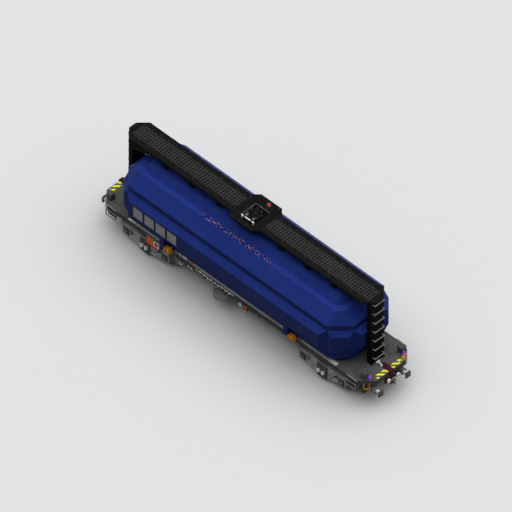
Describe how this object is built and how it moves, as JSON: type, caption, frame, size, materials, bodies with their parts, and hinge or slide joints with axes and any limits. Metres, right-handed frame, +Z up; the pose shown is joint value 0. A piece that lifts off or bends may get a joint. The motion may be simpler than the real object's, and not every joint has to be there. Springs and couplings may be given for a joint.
{
  "type": "railway tank car",
  "caption": "Bogie railway tank car: faceted tank with roof walkway, end ladders and a sill underframe on two swivelling two-axle bogies.",
  "frame": {"origin": "centre of the wagon at the bottom of the wheel flanges", "axes": "+X along the wagon towards its front, +Y to its left side, +Z up"},
  "size_m": [13.08, 3.12, 4.2549],
  "materials": {
    "tank_blue": "semi-gloss blue enamel, lightly weathered",
    "frame_dark": "dull dark grey frame paint with brake dust",
    "deck_grey": "grey deck paint, scuffed",
    "walkway_black": "matt black paint",
    "grating_grey": "worn steel grating",
    "platform_black": "matt black non-slip paint",
    "trim_grey": "light grey paint, worn at the edges",
    "handle_orange": "orange-yellow safety paint",
    "lamp_purple": "purple paint",
    "casing_grey": "mid grey paint",
    "head_dark": "dark forged steel, greasy",
    "gear_maroon": "maroon primer",
    "fitting_white": "white paint",
    "valve_red": "red paint",
    "bogie_grey": "dusty grey bogie paint",
    "bogie_dark": "dark cast steel with brake dust",
    "wheel_steel": "brown-grey wheel steel with a bright tread"
  },
  "bodies": {
    "root": {"tank_shell": "tank_blue", "tank_dome": "tank_blue", "tank_saddles": "tank_blue", "lifting_brackets": "handle_orange", "end_cradles": "frame_dark", "deck_front": "deck_grey", "deck_rear": "deck_grey", "side_sills": "frame_dark", "centre_sill": "frame_dark", "cross_members": "frame_dark", "body_bolsters": "frame_dark", "headstock_front": "frame_dark", "headstock_rear": "frame_dark", "walkway_front": "walkway_black", "walkway_rear": "walkway_black", "walkway_gratings": "grating_grey", "walkway_posts": "walkway_black", "centre_platform": "platform_black", "hatch_kerbs": "trim_grey", "manhole_collar": "platform_black", "hinge_bar": "fitting_white", "vent_valve": "valve_red", "ladder_front": "platform_black", "ladder_rear": "platform_black", "ladder_rungs": "trim_grey", "deck_boxes": "frame_dark", "lamp_brackets": "lamp_purple", "shunter_handles": "handle_orange", "buffer_casings": "casing_grey", "buffer_heads": "head_dark", "drawgear_housings": "gear_maroon", "draw_hooks": "head_dark", "hose_holders": "gear_maroon", "end_cocks": "casing_grey", "corner_steps": "trim_grey", "placard_board": "trim_grey", "brake_panel": "frame_dark", "brake_handwheel": "fitting_white", "outlet_pipe": "casing_grey", "drip_pan": "deck_grey", "air_reservoir": "deck_grey"},
    "manhole_lid": {"manhole_lid": "platform_black"},
    "bogie_front": {"bogie_front_frames": "bogie_grey", "bogie_front_bolster": "bogie_dark", "bogie_front_axleboxes": "bogie_dark"},
    "bogie_rear": {"bogie_rear_frames": "bogie_grey", "bogie_rear_bolster": "bogie_dark", "bogie_rear_axleboxes": "bogie_dark"},
    "wheels_1": {"wheelset_1": "wheel_steel"},
    "wheels_2": {"wheelset_2": "wheel_steel"},
    "wheels_3": {"wheelset_3": "wheel_steel"},
    "wheels_4": {"wheelset_4": "wheel_steel"}
  },
  "joints": [
    {"name": "lid_hinge", "type": "hinge", "parent": "root", "child": "manhole_lid", "pos_m": [0.04, -0.445, 4.2153], "axis": [1, 0, 0], "range_deg": [0, 105]},
    {"name": "bogie_front_swivel", "type": "hinge", "parent": "root", "child": "bogie_front", "pos_m": [4.165, 0, 0.819], "axis": [0, 0, 1], "range_deg": [-8, 8]},
    {"name": "bogie_rear_swivel", "type": "hinge", "parent": "root", "child": "bogie_rear", "pos_m": [-4.165, 0, 0.819], "axis": [0, 0, 1], "range_deg": [-8, 8]},
    {"name": "axle_1_spin", "type": "hinge", "parent": "bogie_front", "child": "wheels_1", "pos_m": [5.065, 0, 0.488], "axis": [0, 1, 0], "continuous": true},
    {"name": "axle_2_spin", "type": "hinge", "parent": "bogie_front", "child": "wheels_2", "pos_m": [3.265, 0, 0.488], "axis": [0, 1, 0], "continuous": true},
    {"name": "axle_3_spin", "type": "hinge", "parent": "bogie_rear", "child": "wheels_3", "pos_m": [-3.265, 0, 0.488], "axis": [0, 1, 0], "continuous": true},
    {"name": "axle_4_spin", "type": "hinge", "parent": "bogie_rear", "child": "wheels_4", "pos_m": [-5.065, 0, 0.488], "axis": [0, 1, 0], "continuous": true}
  ]
}
